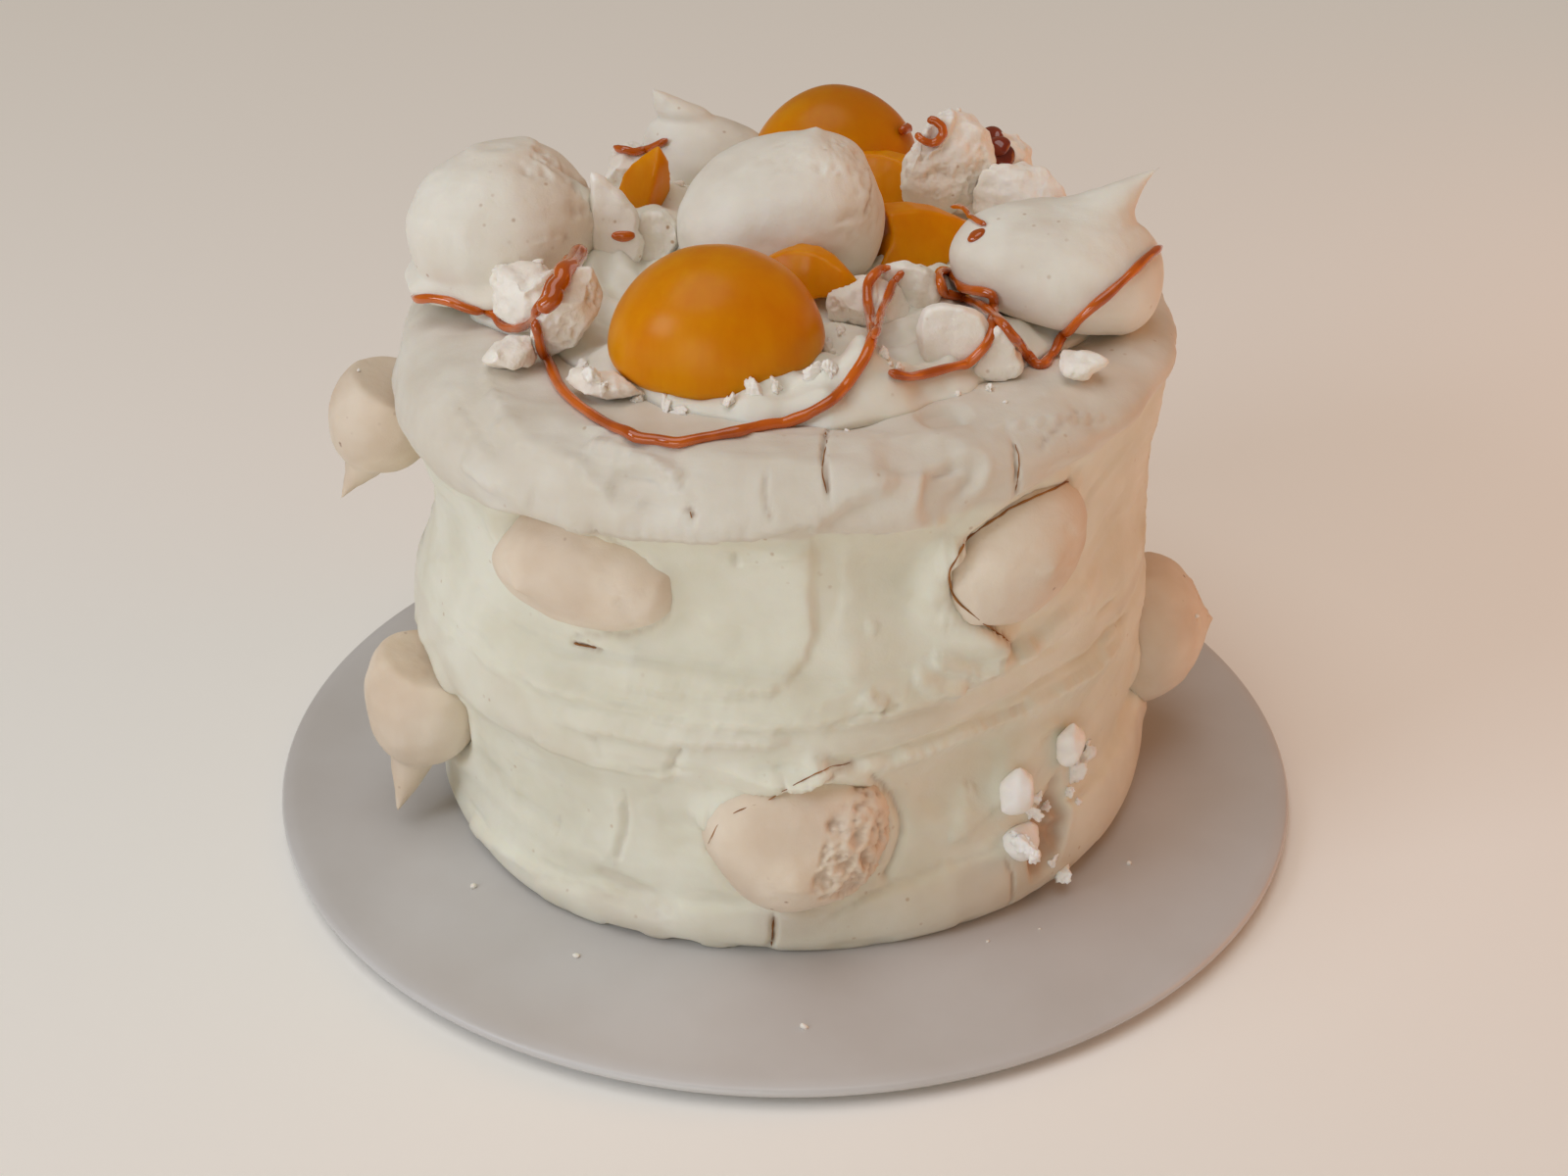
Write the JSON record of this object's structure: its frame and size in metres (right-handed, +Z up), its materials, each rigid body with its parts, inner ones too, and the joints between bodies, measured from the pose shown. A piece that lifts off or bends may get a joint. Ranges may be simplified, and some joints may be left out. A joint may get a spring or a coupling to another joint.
{
  "type": "meringue cake on plate",
  "caption": "Tall round meringue layer cake with cream between its discs, meringue kisses on side and top, peach halves and a caramel drizzle, on a flat round plate.",
  "frame": {"origin": "centre of the plate's underside, on the table", "axes": "+Z up through the cake, -Y towards the side that the picture shows, +X to its right"},
  "size_m": [0.32, 0.32, 0.204],
  "materials": {
    "ceramic": "glazed stoneware, pale warm grey",
    "meringue": "baked meringue, off-white, dry and smooth",
    "toasted_meringue": "baked meringue, pale beige, dry and smooth",
    "cream": "whipped cream, ivory, soft sheen",
    "peach": "tinned peach flesh, wet and glossy"
  },
  "bodies": {
    "root": {"plate": "ceramic", "base_disc": "meringue", "cream_lower": "cream", "middle_disc": "meringue", "cream_upper": "cream", "top_disc": "meringue", "cream_bed": "cream", "side_kiss_front_left": "toasted_meringue", "side_kiss_front_right": "toasted_meringue", "side_kiss_front_low": "toasted_meringue", "side_kiss_right_low": "toasted_meringue", "side_kiss_right_back_high": "toasted_meringue", "side_kiss_back_right_low": "toasted_meringue", "side_kiss_back_high": "toasted_meringue", "side_kiss_back_left_low": "toasted_meringue", "side_kiss_left_back_high": "toasted_meringue", "side_kiss_left_low": "toasted_meringue", "side_kiss_left_high": "toasted_meringue", "side_piece_right_a": "meringue", "side_piece_right_b": "meringue", "side_piece_right_c": "meringue", "top_kiss_left": "meringue", "top_kiss_middle": "meringue", "top_kiss_right": "meringue", "top_kiss_back_left": "meringue", "peach_front": "peach", "peach_back": "peach", "peach_slice_right": "peach", "peach_slice_left": "peach", "peach_slice_middle": "peach", "peach_slice_back": "peach", "piece_left_a": "meringue", "piece_left_b": "meringue", "piece_left_c": "meringue", "piece_tall": "meringue", "piece_crumbly": "meringue", "piece_back_left": "meringue", "piece_back_right": "meringue", "piece_block": "meringue", "piece_behind_block": "meringue", "piece_right_a": "meringue", "piece_right_b": "meringue", "piece_right_c": "meringue", "piece_right_d": "meringue", "piece_small_right": "meringue", "piece_front_left": "meringue"}
  },
  "joints": []
}
